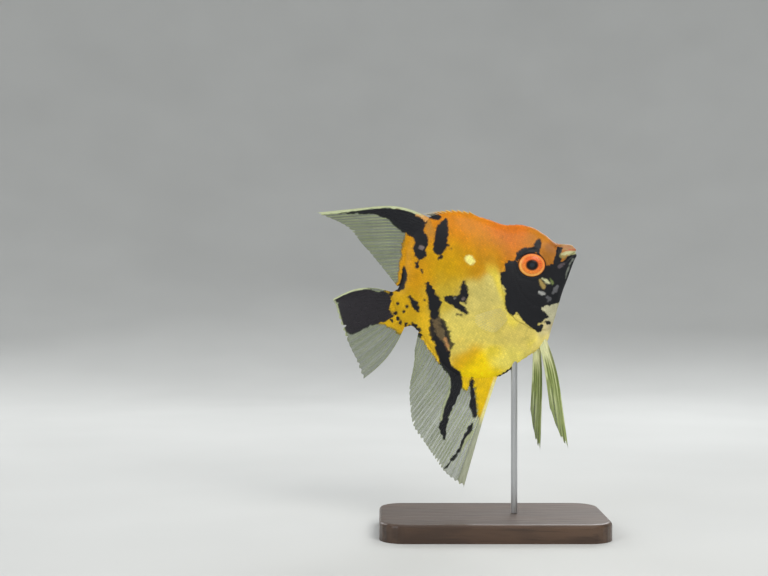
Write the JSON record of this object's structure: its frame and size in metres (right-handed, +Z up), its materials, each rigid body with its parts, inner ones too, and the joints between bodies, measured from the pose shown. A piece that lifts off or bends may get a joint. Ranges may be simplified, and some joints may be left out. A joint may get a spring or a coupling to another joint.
{
  "type": "freshwater angelfish model",
  "caption": "Life-size freshwater angelfish swimming nose-up, deep flat body with tall dorsal and anal fins, held by an upright rod on a flat display base.",
  "frame": {"origin": "centre of the underside of the display base", "axes": "+X towards the snout, +Y towards the fish's left, +Z up"},
  "size_m": [0.1432, 0.064, 0.1616],
  "materials": {
    "skin": "moist scaled skin, golden yellow to orange with black patches and a cream lower flank",
    "eye": "clear glossy, orange iris round a black pupil",
    "fin": "thin translucent membrane over pale rays",
    "dark_fin": "thin membrane, black above and clear below, over pale rays",
    "steel": "satin",
    "wood": "dark stained, satin varnish"
  },
  "bodies": {
    "root": {"head": "skin", "upper_jaw": "skin", "lower_jaw": "skin", "gill_cover_right": "skin", "gill_cover_left": "skin", "trunk": "skin", "tail_stalk": "skin", "eye_right": "eye", "eye_left": "eye", "fin_dorsal_spines": "fin", "fin_dorsal": "fin", "fin_anal": "fin", "fin_tail": "dark_fin", "fin_pelvic_right": "fin", "fin_pelvic_left": "fin", "fin_pectoral_right": "fin", "fin_pectoral_left": "fin", "stand_rod": "steel", "stand_base": "wood"}
  },
  "joints": []
}
